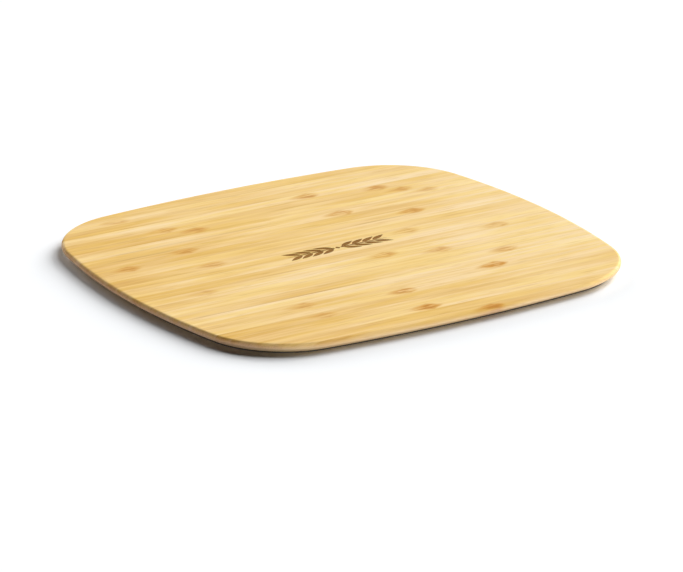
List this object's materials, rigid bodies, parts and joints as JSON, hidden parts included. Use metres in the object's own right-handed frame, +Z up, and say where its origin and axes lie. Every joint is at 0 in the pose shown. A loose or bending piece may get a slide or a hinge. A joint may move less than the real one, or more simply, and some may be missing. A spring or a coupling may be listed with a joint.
{
  "type": "cutting board",
  "caption": "Thin bamboo cutting board: full-length staves glued edge to edge, bowed sides, round corners, an eased top edge, a rim bevelled under for fingers to lift, and a thin black non-slip base.",
  "frame": {"origin": "middle of the underside, on the surface that the board stands on", "axes": "+X along the staves, +Y across them towards the back edge, +Z up, out of the cutting face"},
  "size_m": [0.33, 0.298, 0.0075],
  "materials": {
    "bamboo": "sanded bamboo with a thin satin oil finish, staves of slightly different tone, brown culm-node marks",
    "rubber": "matt black rubber sheet with a fine even texture"
  },
  "bodies": {
    "root": {"nonslip_base": "rubber", "stave_01": "bamboo", "stave_02": "bamboo", "stave_03": "bamboo", "stave_04": "bamboo", "stave_05": "bamboo", "stave_06": "bamboo", "stave_07": "bamboo", "stave_08": "bamboo", "stave_09": "bamboo", "stave_10": "bamboo", "stave_11": "bamboo", "stave_12": "bamboo", "stave_13": "bamboo", "stave_14": "bamboo", "stave_15": "bamboo", "stave_16": "bamboo", "stave_17": "bamboo", "stave_18": "bamboo", "stave_19": "bamboo", "stave_20": "bamboo", "stave_21": "bamboo", "stave_22": "bamboo", "stave_23": "bamboo", "stave_24": "bamboo", "stave_25": "bamboo", "stave_26": "bamboo", "stave_27": "bamboo", "stave_28": "bamboo"}
  },
  "joints": []
}
